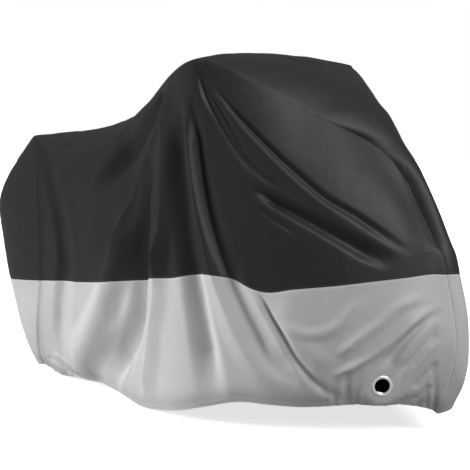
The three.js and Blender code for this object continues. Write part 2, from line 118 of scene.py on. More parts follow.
# Rolling random heights between -1 and 1, about one swell to each length of the given scale.
def rollingNoise(points, scale, seed):
    cells = 64
    lattice = np.random.default_rng(seed).uniform(-1, 1, (cells, cells))
    place = points / scale
    low = np.floor(place).astype(int)
    u = place - low
    u = u * u * (3 - 2 * u)
    a, b = low[..., 0] % cells, low[..., 1] % cells
    c, d = (a + 1) % cells, (b + 1) % cells
    near = lattice[a, b] * (1 - u[..., 0]) + lattice[c, b] * u[..., 0]
    beyond = lattice[a, d] * (1 - u[..., 0]) + lattice[c, d] * u[..., 0]
    return near * (1 - u[..., 1]) + beyond * u[..., 1]


heights = {"hem": 0.0, "belly": 0.18, "tone": 0.36, "waist": 0.68, "top": 1.0}

nearSide = {
    "sign": -1,
    "sections": [
        # at, hem x out z, belly x out, tone x out z, waist x out z, top x out z
        [0, -838, 82, 27, -784, 142, -757, 150, 393, -784, 135, 721, -899, 40, 968],
        [1, -690, 130, 5, -626, 182, -586, 200, 406, -627, 180, 687, -751, 85, 941],
        [2, -515, 190, 19, -470, 232, -440, 240, 415, -469, 220, 674, -596, 120, 922],
        [3, -339, 250, 32, -305, 282, -283, 285, 428, -312, 260, 681, -454, 130, 934],
        [4, -161, 320, 24, -150, 330, -142, 330, 443, -189, 270, 723, -354, 130, 973],
        [5, 6, 380, 3, 3, 378, 0, 370, 462, -66, 290, 765, -276, 120, 1038],
        [6, 162, 440, 18, 144, 434, 126, 420, 480, 96, 370, 807, -70, 220, 1113],
        [7, 280, 470, 36, 265, 463, 250, 450, 492, 223, 420, 845, 174, 370, 1195],
        [8, 390, 475, 61, 370, 470, 351, 460, 511, 325, 440, 864, 308, 420, 1235],
        [9, 533, 450, 92, 508, 460, 480, 455, 511, 433, 435, 866, 367, 400, 1232],
        [10, 658, 420, 92, 650, 430, 631, 430, 469, 572, 420, 835, 452, 370, 1200],
        [11, 759, 380, 91, 760, 396, 744, 400, 483, 687, 380, 803, 554, 320, 1139],
        [12, 868, 320, 99, 876, 338, 860, 340, 497, 804, 320, 772, 652, 255, 1072],
        [13, 944, 260, 104, 965, 272, 952, 265, 511, 893, 250, 756, 745, 185, 1019],
        [14, 1008, 180, 98, 1042, 196, 1026, 185, 522, 976, 170, 723, 825, 100, 961],
        [15, 1057, 95, 80, 1102, 115, 1070, 100, 530, 1025, 95, 674, 898, 75, 899],
        [16, 1083, 55, 58, 1145, 58, 1103, 55, 528, 1052, 52, 642, 953, 55, 821],
    ],
    "folds": [
        # rise, half width at both ends, lean, crispness, path of x, z
        # from the rear end, and the full side behind the rise
        [-17, 50, 110, 0.3, 0, [(-855, 965), (-785, 885), (-700, 785), (-620, 685), (-580, 590),
                                (-560, 495), (-575, 390), (-595, 290), (-600, 190), (-575, 90)]],
        [44, 100, 150, 0, 0, [(-110, 740), (-100, 665), (-105, 580), (-140, 490), (-180, 425),
                              (-225, 345), (-290, 260), (-375, 165), (-525, 70)]],
        # under the rise, and the ridge that hangs back from the top corner
        [-42, 56, 88, -0.15, 0, [(120, 1135), (25, 1075), (-65, 1020), (-135, 960), (-230, 890),
                                 (-285, 830), (-285, 755)]],
        [14, 26, 44, 0.2, 0.6, [(95, 1075), (55, 1010), (30, 960), (-25, 895), (-70, 820), (-95, 740),
                                (-115, 665), (-140, 580), (-200, 490)]],
        # broad hollow that sweeps back through the skirt
        [-46, 56, 100, -0.35, 0, [(45, 930), (40, 840), (30, 755), (50, 665), (50, 595), (55, 510),
                                  (50, 440), (45, 375), (25, 310), (-15, 250), (-75, 180), (-145, 110),
                                  (-205, 35)]],
        # the ridge straight down from the top corner, sharp toward the rear
        [26, 50, 56, 0.25, 0.5, [(170, 1185), (145, 1080), (165, 950), (180, 810), (185, 670), (160, 530),
                                 (135, 460)]],
        [20, 44, 60, 0.55, 0.4, [(150, 670), (165, 530), (155, 405), (125, 260), (85, 110), (55, 30)]],
        [-6, 13, 15, 0, 0.3, [(85, 355), (65, 310), (40, 250), (15, 205), (-15, 155), (-45, 105)]],
        # hollow in front of it, then the crest that sweeps forward to the hem, and its furrow
        [-34, 54, 78, -0.15, 0, [(270, 1100), (250, 925), (280, 785), (310, 650), (350, 520), (385, 395),
                                 (430, 230), (460, 90)]],
        [16, 30, 54, -0.3, 0.5, [(270, 1130), (310, 1000), (340, 865), (370, 730), (415, 595), (450, 500),
                                 (495, 410), (550, 310), (625, 210), (720, 150)]],
        [-22, 30, 70, 0.5, 0, [(315, 1130), (335, 1000), (360, 865), (400, 730), (455, 600), (515, 485),
                               (590, 360), (660, 250), (750, 175)]],
        [6, 34, 44, 0, 0, [(535, 565), (560, 505), (590, 440), (630, 370), (670, 300), (710, 245)]],
        # furrow that crosses the skirt toward the eyelet, with a raised lip behind it
        [7, 24, 28, -0.2, 0.3, [(590, 475), (620, 435), (645, 395), (670, 350), (700, 305), (730, 260),
                                (755, 215), (790, 180)]],
        [-14, 17, 28, 0, 0.2, [(615, 475), (655, 400), (700, 335), (740, 260), (790, 195), (850, 140),
                               (880, 120)]],
        [5, 44, 50, 0, 0, [(690, 445), (720, 375), (755, 320), (805, 270), (855, 225)]],
        # long folds that fan out from the top corner across the front
        [-11, 13, 24, 0, 0.5, [(340, 1200), (375, 1110), (430, 1030), (490, 955), (550, 890),
                               (605, 835)]],
        [-9, 12, 18, 0, 0.5, [(365, 1150), (425, 1075), (490, 990), (560, 900), (635, 830), (675, 810)]],
        [-24, 26, 38, 0.2, 0.1, [(580, 810), (615, 790), (660, 760), (710, 735), (775, 700), (835, 665),
                                 (890, 630), (940, 595), (995, 565)]],
        [5, 22, 36, 0, 0.2, [(370, 1155), (450, 1075), (555, 970), (665, 870), (785, 770), (900, 685),
                             (1000, 610), (1035, 580)]],
        [-12, 12, 20, 0, 0.3, [(380, 1165), (430, 1115), (490, 1055), (560, 990), (635, 920), (710, 855),
                               (800, 780), (890, 720), (970, 655), (1035, 595)]],
        [-6, 13, 13, 0, 0.4, [(615, 745), (635, 725), (665, 705), (700, 685), (735, 660)]],
        [-5, 11, 11, 0, 0.4, [(655, 660), (685, 630)]],
        # folds by the eyelet and in the skirt's front
        [11, 26, 30, 0, 0.2, [(870, 265), (935, 335), (980, 380), (1015, 425), (1070, 470)]],
        [13, 24, 26, 0, 0.3, [(850, 200), (910, 235), (955, 270), (995, 310), (1030, 350), (1060, 390),
                              (1090, 425)]],
        [-16, 17, 21, 0, 0.3, [(910, 130), (950, 195), (985, 235), (1015, 280), (1040, 320), (1065, 360),
                               (1105, 420)]],
        [7, 13, 15, 0, 0.4, [(1010, 240), (1035, 280), (1055, 320), (1075, 355), (1090, 400)]],
        [-9, 14, 16, 0, 0.4, [(1005, 170), (1025, 220), (1055, 260), (1075, 295), (1095, 330),
                              (1100, 370)]],
        [6, 12, 14, 0, 0.4, [(1020, 155), (1035, 205), (1060, 245), (1085, 285), (1110, 320)]],
        [-7, 12, 14, 0, 0.4, [(1040, 155), (1065, 195), (1085, 220), (1100, 250)]],
        [-5, 11, 11, 0, 0.4, [(1035, 110), (1055, 135), (1080, 170)]],
        [5, 30, 32, 0, 0, [(700, 385), (715, 370), (775, 340), (835, 345), (880, 375), (910, 420),
                           (940, 470)]],
        # pocket in the drawn-in hem at the rear
        [-13, 9, 15, -0.3, 0.5, [(-760, 75), (-700, 70), (-640, 55), (-575, 35), (-515, 20)]],
        [7, 12, 16, 0, 0.4, [(-695, 105), (-630, 90), (-560, 75), (-505, 50), (-470, 20)]],
    ],
}

farSide = {
    "sign": 1,
    "sections": [
        # at, hem x out z, belly x out, tone x out z, waist x out z, top x out z
        [0, -838, 82, 30, -784, 142, -757, 150, 400, -784, 135, 721, -899, 40, 968],
        [2, -515, 200, 30, -470, 240, -440, 250, 420, -469, 230, 680, -596, 120, 930],
        [4, -161, 330, 20, -150, 342, -142, 340, 445, -189, 290, 730, -330, 130, 985],
        [5, 6, 390, 10, 3, 390, 0, 385, 465, -66, 320, 770, -240, 140, 1050],
        [6, 162, 440, 15, 144, 435, 126, 425, 480, 96, 380, 810, -50, 240, 1125],
        [7, 290, 465, 5, 275, 460, 260, 450, 495, 240, 425, 850, 190, 370, 1205],
        [8, 400, 470, 2, 385, 465, 370, 455, 505, 350, 440, 870, 345, 430, 1253],
        [9, 530, 450, 1.5, 505, 455, 480, 445, 505, 440, 430, 866, 400, 415, 1235],
        [10, 650, 420, 3, 625, 425, 600, 420, 500, 540, 410, 850, 470, 370, 1198],
        [12, 850, 300, 85, 850, 312, 830, 300, 505, 760, 275, 770, 655, 216, 1083],
        [14, 1000, 150, 85, 1035, 162, 1000, 150, 515, 940, 136, 700, 835, 98, 933],
        [16, 1080, 42, 75, 1130, 42, 1095, 40, 522, 1045, 42, 640, 945, 50, 810],
    ],
    "folds": [
        # rise, half width at both ends, lean, crispness, path of x, z
        [-20, 50, 90, 0, 0, [(-840, 900), (-680, 760), (-560, 560), (-520, 400)]],
        [-36, 60, 90, 0, 0, [(50, 1130), (-120, 1030), (-220, 920), (-240, 760)]],
        [24, 34, 60, 0, 0.6, [(170, 1190), (80, 1050), (20, 850), (-40, 600), (-90, 350), (-110, 60)]],
        [-26, 36, 80, 0, 0, [(200, 1120), (150, 900), (110, 650), (70, 400), (40, 120)]],
        [26, 32, 60, 0, 0.6, [(290, 1190), (260, 980), (240, 740), (230, 480), (220, 260), (215, 40)]],
        [-26, 40, 70, 0, 0, [(350, 1150), (370, 900), (380, 650), (400, 400), (420, 120)]],
        [20, 30, 50, 0, 0.4, [(420, 1170), (470, 950), (520, 720), (560, 500), (600, 280), (640, 100)]],
        [-24, 30, 44, 0, 0.4, [(480, 1130), (600, 960), (720, 820), (840, 700), (960, 590)]],
        [18, 34, 44, 0, 0.5, [(700, 480), (760, 330), (850, 200), (920, 110)]],
    ],
}

centreStrip = {
    # Crown: the middle line from the rear hem up the rear end, along the back, over the top, down the front.
    "crown": [
        # at, x, y, z, how square its arch is
        [0, -922, 0, 14, 2], [0.4, -962, 0, 75, 2], [0.9, -998, 0, 140, 2], [1.6, -1043, 0, 240, 2],
        [2.2, -1076, 0, 330, 2], [2.52, -1094, 0, 372, 2], [3.65, -1138, 0, 540, 2],
        [4.75, -1163, 0, 700, 2], [5.6, -1110, 0, 812, 2], [6.4, -1020, 0, 910, 2],
        [6.8, -965, 0, 964, 2], [6.92, -948, 0, 979, 2], [7, -936, 0, 985, 2], [7.1, -920, 0, 987, 2],
        [7.4, -880, 0, 989, 2], [9, -640, 0, 1009, 2], [11, -380, 0, 1048, 2], [12, -250, 0, 1090, 2],
        [13, -60, 0, 1165, 2], [14, 140, 0, 1245, 2], [15, 262, 0, 1280, 2], [16, 395, 0, 1264, 2.2],
        [17, 525, 0, 1218, 2.2], [18, 640, 0, 1162, 2.2], [19, 740, 0, 1092, 2],
        [19.5, 786, 0, 1064, 2], [20, 824, 0, 1026, 2], [21, 892, -5, 950, 2], [22, 948, -8, 888, 2],
        [23, 990, -10, 824, 2], [25.25, 1078, -12, 645, 2], [27.5, 1118, -12, 525, 2],
        [28.5, 1152, -8, 370, 2], [29.2, 1148, -8, 200, 2], [30, 1092, 0, 75, 2],
    ],
    "tailStation": 7, "noseStation": 23, "lastStation": 30,
    "folds": [
        # rise, half width at both ends, lean, crispness, path of x, y, z
        [-16, 50, 50, 0, 0, [(420, -40, 1245), (450, 40, 1245), (470, 120, 1240)]],
        [-4, 70, 70, 0, 0, [(-720, 10, 990), (-560, 0, 1010), (-420, 10, 1035)]],
        [-5, 40, 40, 0, 0.3, [(520, -170, 1190), (640, -90, 1130), (760, -60, 1050), (850, -50, 960)]],
    ],
}

cloth = {
    "thickness": 1.4,
    "seamGap": 0.4,
    "hemBand": 18.0,  # height of the turned-up hem
    "hemRaise": 0.8,  # the hem is three layers thick, so it stands this proud
    "hemSlope": 1.5,  # the band's upper edge falls away over twice this
    "hemTuck": 20.0,  # how far the elastic rolls the edge inward
    "hemRoll": 34.0,  # height over which it rolls
    "seamDip": 0.8,  # a sewn seam lies this deep between the panels
    "seamWidth": 6.0,
    "rearRidge": 9.0,  # the seam between a side and the rear strip stands out to a sharp edge
    "rearRidgeWidth": 14.0,
    "seamCalm": 45.0,  # folds die out within this distance of the top seam, which the sewing keeps straight
}

eyelet = {
    "station": 13.34, "height": 0.06,
    "clothHole": 28.0,  # radius of the hole cut for the ring
    "flatNear": 45.0, "flatFar": 110.0,  # cloth lies flat round the ring and eases off to its folds
    "rimInside": 4.5, "rimOutside": 3.5,  # grid points this close to the cloth's hole move to its edge
    "reach": 30.0,  # and only those this near the ring's plane
}

unrest = {
    # Small swells that thin cloth keeps between its main folds: height, length
    "side": [(1.4, 95.0), (0.5, 42.0)],
    "strip": [(2.0, 90.0), (1.0, 37.0)],
    "nearSeed": 11, "farSeed": 23, "stripSeed": 41,
}

gathers = {
    # strength at stations from rear to front
    "near": ([0, 2, 3, 11, 12, 16], [5, 5, 0, 0, 8, 8]),
    "far": ([0, 2, 3, 10.5, 12, 16], [4, 4, 0, 0, 5, 5]),
    "first": 12.0,  # distance of the first pleat from the rear seam
    "height": (45, 120), "width": (9, 17), "skew": (-0.35, 0.35),
    "uneven": (0.6, 1.3),  # how much one pleat's depth differs from the next
    "apart": (20, 42),
    "least": 0.02,  # weaker pleats are left out
}

grid = {
    "columnSteps": [(0, 5, 90), (5, 9, 130), (9, 16, 110)],
    "rowSteps": [(0, 0.36, 84), (0.36, 0.6, 44), (0.6, 1.0, 84)],
    "skirtRows": 84,
    "farStep": 2,
    "stripCuts": 48,
}


def spread(steps):
    parts = [np.linspace(low, high, count + 1)[1:] for low, high, count in steps]
    return np.concatenate([[steps[0][0]], *parts])


columns = spread(grid["columnSteps"])
rows = spread(grid["rowSteps"])


# Smooth form of one side as a grid of points, rows from hem to top, columns from rear to front.
def sideForm(side, columnPlaces, rowPlaces):
    table = np.array(side["sections"], float)
    found = smoothCurve(table[:, 0], table[:, 1:], columnPlaces)
    hem, belly, tone = found[:, 0:3], found[:, 3:5], found[:, 5:8]
    waist, top = found[:, 8:11], found[:, 11:14]
    belly = np.column_stack([belly, (hem[:, 2] + tone[:, 2]) / 2])
    lines = np.stack([hem, belly, tone, waist, top])
    lines[..., 1] *= side["sign"]
    laid = smoothCurve(list(heights.values()), lines.reshape(5, -1), rowPlaces)
    return laid.reshape(len(rowPlaces), len(columnPlaces), 3)


def gridNormals(points, facing):
    alongRows = np.gradient(points, axis=0)
    alongColumns = np.gradient(points, axis=1)
    normals = np.cross(alongRows, alongColumns) * facing
    return normals / np.linalg.norm(normals, axis=-1, keepdims=True)


# Distance of every grid point from an edge, measured over the cloth.
def overCloth(points, axis, fromEnd=False):
    steps = np.linalg.norm(np.diff(points, axis=axis), axis=-1)
    start = np.zeros_like(np.take(steps, [0], axis=axis))
    if fromEnd:
        steps = np.flip(steps, axis)
    reach = np.concatenate([start, np.cumsum(steps, axis=axis)], axis=axis)
    return np.flip(reach, axis) if fromEnd else reach


def foldPath(path, step=18.0):
    path = np.array(path, float)
    reach = np.concatenate([[0], np.cumsum(np.linalg.norm(np.diff(path, axis=0), axis=1))])
    count = max(3, int(reach[-1] / step))
    share = np.linspace(0, 1, count + 1)
    return share, smoothCurve(reach, path, share * reach[-1])


# How far one fold lifts each point. It stands out or sinks in by its rise, and fades at both ends.
# Lean widens it to the left of its path and narrows it to the right, or the reverse if below zero.
def foldLift(fold, places):
    rise, widthStart, widthEnd, lean, crispness, path = fold
    share, chain = foldPath(path)
    widest = max(widthStart, widthEnd) * (1 + abs(lean))
    low, high = chain.min(0) - widest, chain.max(0) + widest
    inside = np.all((places > low) & (places < high), axis=-1)
    lift = np.zeros(len(places))
    if not inside.any():
        return lift
    spots = places[inside]
    nearest = np.full(len(spots), np.inf)
    along = np.zeros(len(spots))
    turn = np.zeros(len(spots))
    for k in range(len(chain) - 1):
        step = chain[k + 1] - chain[k]
        away = spots - chain[k]
        u = np.clip(away @ step / (step @ step), 0, 1)
        gap = np.linalg.norm(away - u[:, None] * step, axis=-1)
        closer = gap < nearest
        nearest[closer] = gap[closer]
        along[closer] = (share[k] + (share[k + 1] - share[k]) * u)[closer]
        if spots.shape[1] == 2:
            turn[closer] = np.sign(step[0] * away[:, 1] - step[1] * away[:, 0])[closer]
    width = (widthStart + (widthEnd - widthStart) * along) * (1 + lean * turn)
    off = np.clip(nearest / width, 0, 1)
    rounded = 0.5 + 0.5 * np.cos(math.pi * off)
    sharp = (1 - off) ** 2
    ends = np.clip(np.minimum(along, 1 - along) * 6, 0, 1)
    lift[inside] = rise * (rounded + (sharp - rounded) * crispness) * ends
    return lift


def layFolds(points, places, folds, calm):
    flat = places.reshape(-1, places.shape[-1])
    lift = np.zeros(len(flat))
    for fold in folds:
        lift += foldLift(fold, flat)
    return lift.reshape(points.shape[:2]) * calm


def clothUnrest(places, swells, seed):
    return sum(height * rollingNoise(places, length, seed + k) for k, (height, length) in enumerate(swells))


# Gathers that the elastic draws into the hem: short pleats that die out upward.
def hemGathers(points, fromHem, stations, strength, seed):
    run = overCloth(points[:1], 1)[0]
    rng = np.random.default_rng(seed)
    lift = np.zeros(points.shape[:2])
    place = gathers["first"]
    while place < run[-1]:
        power = np.interp(np.interp(place, run, stations), *strength)
        height, width, skew = [rng.uniform(*gathers[key]) for key in ("height", "width", "skew")]
        if power > gathers["least"]:
            off = (run[None, :] - place - skew * fromHem) / width
            pleat = np.exp(-off ** 2) * np.exp(-(fromHem / height) ** 1.5)
            lift -= power * rng.uniform(*gathers["uneven"]) * pleat
        place += rng.uniform(*gathers["apart"])
    return lift


def eyeletSeat(side):
    small = 0.05
    places = sideForm(side, np.array([eyelet["station"], eyelet["station"] + small]),
                      np.array([eyelet["height"], eyelet["height"] + small]))
    centre = places[0, 0]
    facing = np.cross(places[0, 1] - centre, places[1, 0] - centre) * -side["sign"]
    return centre, facing / np.linalg.norm(facing)


def makeSide(side, step, gatherStrength, seed):
    sideColumns, sideRows = columns[::step], rows[::step]
    points = sideForm(side, sideColumns, sideRows)
    centre, facing = eyeletSeat(side)
    away = np.linalg.norm(points - centre, axis=-1)
    flat = 1 - smoothStep(away, eyelet["flatNear"], eyelet["flatFar"])
    proud = (points - centre) @ facing
    points = points - (proud * flat)[..., None] * facing
    normals = gridNormals(points, side["sign"])
    fromHem = overCloth(points, 0)
    fromTop = overCloth(points, 0, True)
    calm = (1 - flat) * smoothStep(fromTop, 0, cloth["seamCalm"])
    lift = layFolds(points, points[..., [0, 2]], side["folds"], calm)
    x, z = points[..., 0], points[..., 2]
    hang = np.stack([x + 0.25 * z, z * 0.3], axis=-1)  # swells are drawn out along the hang of the cloth
    lift += clothUnrest(hang, unrest["side"], seed) * (1 - flat)
    lift += hemGathers(points, fromHem, sideColumns, gatherStrength, seed + 7) * (1 - flat)
    lift -= cloth["hemTuck"] * np.exp(-(fromHem / cloth["hemRoll"]) ** 1.5) * (1 - flat)
    lift += cloth["rearRidge"] * np.exp(-overCloth(points, 1) / cloth["rearRidgeWidth"])
    points = points + normals * lift[..., None]
    return {"points": points, "seat": (centre, facing)}


def stripEdge(field):
    return np.concatenate([field[:, 0], field[-1, 1:-1], field[::-1, -1]])


def refineEdge(edge, step):
    count = (len(edge) - 1) * step + 1
    at = np.arange(count) / step
    low = np.minimum(at.astype(int), len(edge) - 2)
    share = (at - low)[:, None]
    return edge[low] * (1 - share) + edge[low + 1] * share


def makeStrip(strip, near, far):
    tail, nose, last = strip["tailStation"], strip["noseStation"], strip["lastStation"]
    stations = np.concatenate([
        tail * rows,
        tail + (nose - tail) * columns[1:-1] / columns[-1],
        (last - (last - nose) * rows)[::-1],
    ])
    nearEdge = stripEdge(near["points"])
    farEdge = refineEdge(stripEdge(far["points"]), grid["farStep"])
    crown = np.array(strip["crown"], float)
    found = smoothCurve(crown[:, 0], crown[:, 1:], stations)
    shares = np.linspace(0, 1, grid["stripCuts"] + 1)[None, :, None]
    straight = nearEdge[:, None] * (1 - shares) + farEdge[:, None] * shares
    rise = (found[:, :3] - (nearEdge + farEdge) / 2)[:, None]
    arch = 1 - np.abs(2 * shares - 1) ** found[:, 3][:, None, None]
    points = straight + rise * arch
    normals = gridNormals(points, 1)
    edgeCalm = np.sin(math.pi * shares[..., 0])
    lift = layFolds(points, points, strip["folds"], np.broadcast_to(edgeCalm, points.shape[:2]))
    swells = clothUnrest(points[..., :2] + points[..., 2:] * 0.4, unrest["strip"], unrest["stripSeed"])
    return {"points": points + normals * (lift + swells * edgeCalm)[..., None]}


near = makeSide(nearSide, 1, gathers["near"], unrest["nearSeed"])
far = makeSide(farSide, grid["farStep"], gathers["far"], unrest["farSeed"])
strip = makeStrip(centreStrip, near, far)
print("cloth laid out")


# Moves the points near the eyelet's hole onto its edge, and says which quads stay.
def cutHole(outer, shape, centre, axis):
    reach = outer - centre
    side = reach - (reach @ axis)[:, None] * axis
    radius = np.linalg.norm(side, axis=1)
    close = np.abs(reach @ axis) < eyelet["reach"]
    within = (radius < eyelet["clothHole"] + eyelet["rimOutside"]) & close
    rim = within & (radius > eyelet["clothHole"] - eyelet["rimInside"])
    outer[rim] += side[rim] * (eyelet["clothHole"] / radius[rim] - 1)[:, None]
    gone = within.reshape(shape)
    return ~(gone[:-1, :-1] & gone[1:, :-1] & gone[1:, 1:] & gone[:-1, 1:])


# Joins the outer and inner faces of a sheet with walls along every open edge.
def closeSheet(quads, under):
    sides = np.concatenate([quads[:, [0, 1]], quads[:, [1, 2]], quads[:, [2, 3]], quads[:, [3, 0]]])
    there = set(map(tuple, sides.tolist()))
    start, end = np.array([pair for pair in sides.tolist() if (pair[1], pair[0]) not in there]).T
    walls = np.stack([end, start, start + under, end + under], axis=-1)
    return np.concatenate([quads, quads[:, ::-1] + under, walls])


# Cuts a panel out of a grid, draws it back from its edges, and gives it thickness.
def makePanel(name, field, facing, first, last, sewn, hem, hole=None):
    kept = np.s_[first:last + 1]
    points = field["points"]
    normals = gridNormals(points, facing)[kept]
    edges = {"left": overCloth(points, 1)[kept], "right": overCloth(points, 1, True)[kept]}
    points = points[kept].copy()
    edges["low"], edges["high"] = overCloth(points, 0), overCloth(points, 0, True)
    fromSeam = np.min([edges[key] for key in sewn], axis=0)
    fromHem = np.min([edges[key] for key in hem], axis=0) if hem else np.full(points.shape[:2], 1e3)
    dip = cloth["seamDip"] * np.exp(-(fromSeam / cloth["seamWidth"]) ** 2)
    bandEnds = cloth["hemBand"] - cloth["hemSlope"], cloth["hemBand"] + cloth["hemSlope"]
    band = cloth["hemRaise"] * (1 - smoothStep(fromHem, *bandEnds))
    points += normals * (band - dip)[..., None]
    half = cloth["seamGap"] / 2
    for edge, inner in ((np.s_[0], np.s_[1]), (np.s_[-1], np.s_[-2]),
                        (np.s_[:, 0], np.s_[:, 1]), (np.s_[:, -1], np.s_[:, -2])):
        way = points[inner] - points[edge]
        points[edge] += way / np.linalg.norm(way, axis=-1, keepdims=True) * half
    shape = points.shape[:2]
    numbers = np.arange(points[..., 0].size).reshape(shape)
    outer = points.reshape(-1, 3)
    keep = cutHole(outer, shape, *hole) if hole else np.s_[:]
    quads = np.stack([numbers[:-1, :-1], numbers[1:, :-1], numbers[1:, 1:], numbers[:-1, 1:]], axis=-1)
    quads = quads[keep].reshape(-1, 4)
    if facing < 0:
        quads = quads[:, ::-1]
    faces = closeSheet(quads, len(outer))
    places = np.concatenate([outer, outer - normals.reshape(-1, 3) * cloth["thickness"]])
    used = np.unique(faces)
    renumber = np.full(len(places), -1)
    renumber[used] = np.arange(len(used))
    values = {"fromSeam": fromSeam, "fromHem": fromHem, "across": edges["left"], "along": edges["low"]}
    marks = {key: np.concatenate([value.ravel()] * 2)[used] for key, value in values.items()}
    slots = (np.arange(len(faces)) >= len(quads)).astype(int)  # outer faces 0, inner faces and walls 1
    return newPiece(name, places[used], renumber[faces], marks, slots), clothArea(points)


def clothArea(points):
    down, right = np.diff(points, axis=0)[:, :-1], np.diff(points, axis=1)[:-1]
    return float(np.linalg.norm(np.cross(down, right), axis=-1).sum()) / 1e6


def newPiece(name, places, faces, marks=None, slots=None):
    mesh = bpy.data.meshes.new(name)
    mesh.from_pydata((places / 1000).tolist(), [], faces.tolist())
    mesh.polygons.foreach_set("use_smooth", np.ones(len(mesh.polygons), bool))
    if slots is not None:
        mesh.polygons.foreach_set("material_index", slots)
    for key, values in (marks or {}).items():
        layer = mesh.attributes.new(key, "FLOAT", "POINT")
        layer.data.foreach_set("value", (values / 1000).astype(np.float32))
    mesh.set_sharp_from_angle(angle=math.radians(50))
    mesh.update()
    piece = bpy.data.objects.new(name, mesh)
    bpy.context.collection.objects.link(piece)
    return piece


skirt = grid["skirtRows"]
farSkirt = skirt // grid["farStep"]
stripLast = len(strip["points"]) - 1
frontTone = stripLast - skirt

panels = {}
panelTable = [
    # name, field, facing, first row, last row, sewn edges, hem edges
    ("near_side_upper", near, -1, skirt, len(rows) - 1, ("low", "high", "left", "right"), ()),
    ("near_side_lower", near, -1, 0, skirt, ("high", "left", "right"), ("low",)),
    ("far_side_upper", far, 1, farSkirt, len(far["points"]) - 1, ("low", "high", "left", "right"), ()),
    ("far_side_lower", far, 1, 0, farSkirt, ("high", "left", "right"), ("low",)),
    ("centre_strip_upper", strip, 1, skirt, frontTone, ("low", "high", "left", "right"), ()),
    ("rear_strip_lower", strip, 1, 0, skirt, ("high", "left", "right"), ("low",)),
    ("front_strip_lower", strip, 1, frontTone, stripLast, ("low", "left", "right"), ("high",)),
]
for name, field, facing, first, last, sewn, hem in panelTable:
    hole = field.get("seat") if name.endswith("side_lower") else None
    panels[name] = makePanel("cloth_" + name, field, facing, first, last, sewn, hem, hole)
print("panels cut:", {name: round(area, 3) for name, (piece, area) in panels.items()})


# Ring turned round its axis, then set into the cloth.
eyeletProfile = {
    # radius, height over the cloth's outer face; round the closed section
    "ring": [(25.0, 0.6), (25.15, 1.6), (25.8, 2.5), (27.0, 3.0), (28.6, 3.15), (30.4, 3.0), (32.2, 2.5),
             (33.8, 1.8), (34.8, 1.0), (35.0, 0.5), (34.8, 0.25), (34.0, 0.2), (28.2, 0.2), (27.2, 0.0),
             (27.0, -0.8), (27.2, -1.7), (28.2, -1.9), (34.0, -1.9), (34.8, -2.1), (35.0, -2.5),
             (34.4, -3.4), (32.4, -4.0), (29.6, -4.3), (27.0, -4.2), (25.6, -3.6), (25.0, -2.4)],
    "segments": 96,
}


def makeRing(name, seat):
    profile = np.array(eyeletProfile["ring"])
    count = eyeletProfile["segments"]
    centre, axis = seat
    first = np.cross(axis, [0, 0, 1.0])
    first /= np.linalg.norm(first)
    second = np.cross(axis, first)
    angle = np.arange(count) / count * 2 * math.pi
    around = np.cos(angle)[:, None] * first + np.sin(angle)[:, None] * second
    places = centre + around[:, None] * profile[None, :, :1] + axis * profile[None, :, 1:]
    here = np.arange(count * len(profile)).reshape(count, -1)
    beside = np.roll(here, -1, axis=0)
    faces = np.stack([here, beside, np.roll(beside, -1, axis=1), np.roll(here, -1, axis=1)], axis=-1)
    return newPiece(name, places.reshape(-1, 3), faces.reshape(-1, 4))


rings = {
    "lock_eyelet_near": makeRing("ring_near", near["seat"]),
    "lock_eyelet_far": makeRing("ring_far", far["seat"]),
}
print("eyelets set")


silverCloth = {
    "colour": "#a6a8a7", "shade": "#9d9f9e", "thread": "#bcbebd", "roughness": 0.55, "specular": 0.3,
}
blackCloth = {
    "colour": "#222223", "shade": "#1e1e1f", "thread": "#3c3c3e", "roughness": 0.5, "specular": 0.3,
}
weave = {
    # metres
    "threadPitch": 0.0011,  # the real 210D taffeta has 0.25 mm, drawn coarser so that it shows close up
    "seamRow": 0.0055,  # the stitches lie this far from a seam
    "hemRow": 0.0155,  # and this far above the edge of the hem
    "stitchWidth": 0.0018,
    "stitchLength": 0.0062,
    "stitchGap": 0.32,  # share of that length where the thread is out of sight
    "threadDepth": 0.0002, "stitchDepth": 0.0008,
    "crumpleDepth": 0.004,
    "crumpleScale": 34.0,  # cells a metre: crumples about 30 mm across, as of cloth that was kept folded
    "cloudScale": 9.0,  # slow changes of tone about 110 mm across
}


